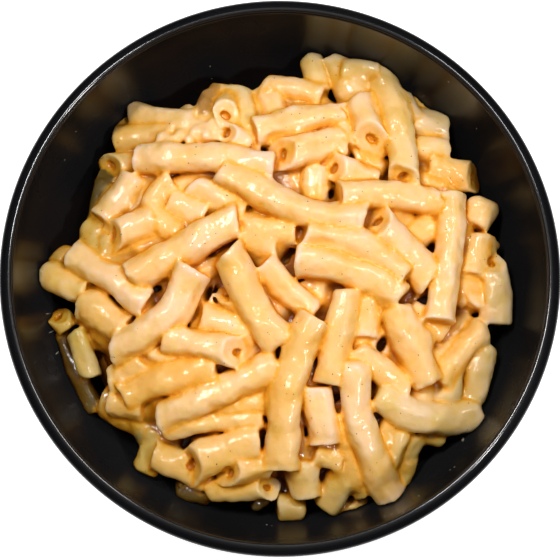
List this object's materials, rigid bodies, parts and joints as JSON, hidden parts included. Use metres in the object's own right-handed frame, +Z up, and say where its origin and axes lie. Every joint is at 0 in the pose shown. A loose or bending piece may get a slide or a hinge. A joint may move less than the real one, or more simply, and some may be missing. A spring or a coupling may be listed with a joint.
{
  "type": "bowl of mac and cheese",
  "caption": "Round black bowl on a foot ring, filled with a low uneven heap of short tube macaroni in cheese sauce.",
  "frame": {"origin": "middle of the foot ring, on the surface that the bowl stands on", "axes": "+Z up along the bowl's axis, +X to the right and +Y away from the viewer as pictured from above"},
  "size_m": [0.165, 0.165, 0.07],
  "materials": {
    "bowl_black": "satin black melamine, slightly blue at the lip",
    "macaroni_and_sauce": "cooked macaroni coated in wet, glossy cheese sauce"
  },
  "bodies": {
    "root": {"bowl": "bowl_black", "macaroni": "macaroni_and_sauce"}
  },
  "joints": []
}
